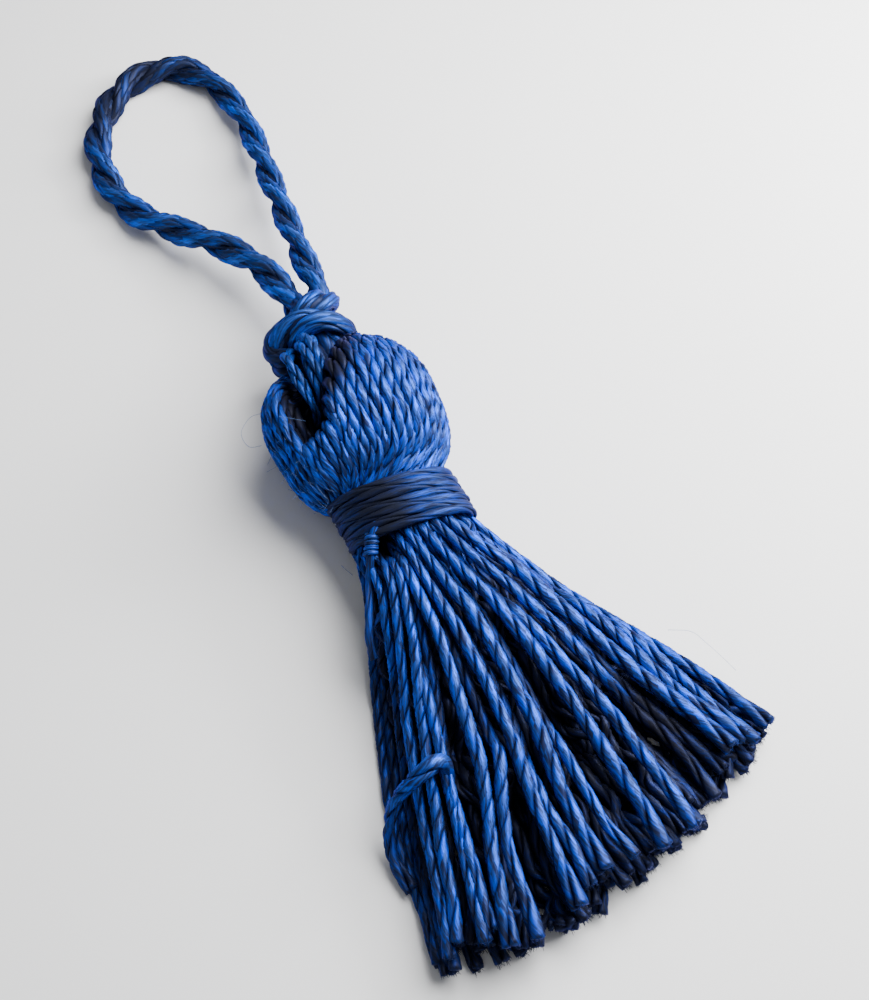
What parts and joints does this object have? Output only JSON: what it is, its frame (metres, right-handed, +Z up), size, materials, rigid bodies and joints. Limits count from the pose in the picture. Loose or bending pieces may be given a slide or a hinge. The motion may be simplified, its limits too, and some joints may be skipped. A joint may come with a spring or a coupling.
{
  "type": "thread tassel with a hanging loop",
  "caption": "Hand-made thread tassel: a folded and bound skein with a fanned, cut skirt, and a twisted hanging loop knotted above its rounded head, lying flat.",
  "frame": {"origin": "middle of the base of the tassel's box, on the surface it lies on, the loop left out of the box", "axes": "+Y from the skirt to the loop, +Z up from the surface, +X to the right seen from the skirt's end"},
  "size_m": [0.0328, 0.0943, 0.0124],
  "materials": {
    "skein_thread": "satin two-ply embroidery thread, blue",
    "binding_thread": "the same thread wound tight, blue",
    "cord_thread": "the same thread doubled and twisted to a cord, blue"
  },
  "bodies": {
    "root": {"skein": "skein_thread", "neck_binding": "binding_thread", "loop_knot": "cord_thread", "hanging_loop": "cord_thread"}
  },
  "joints": []
}
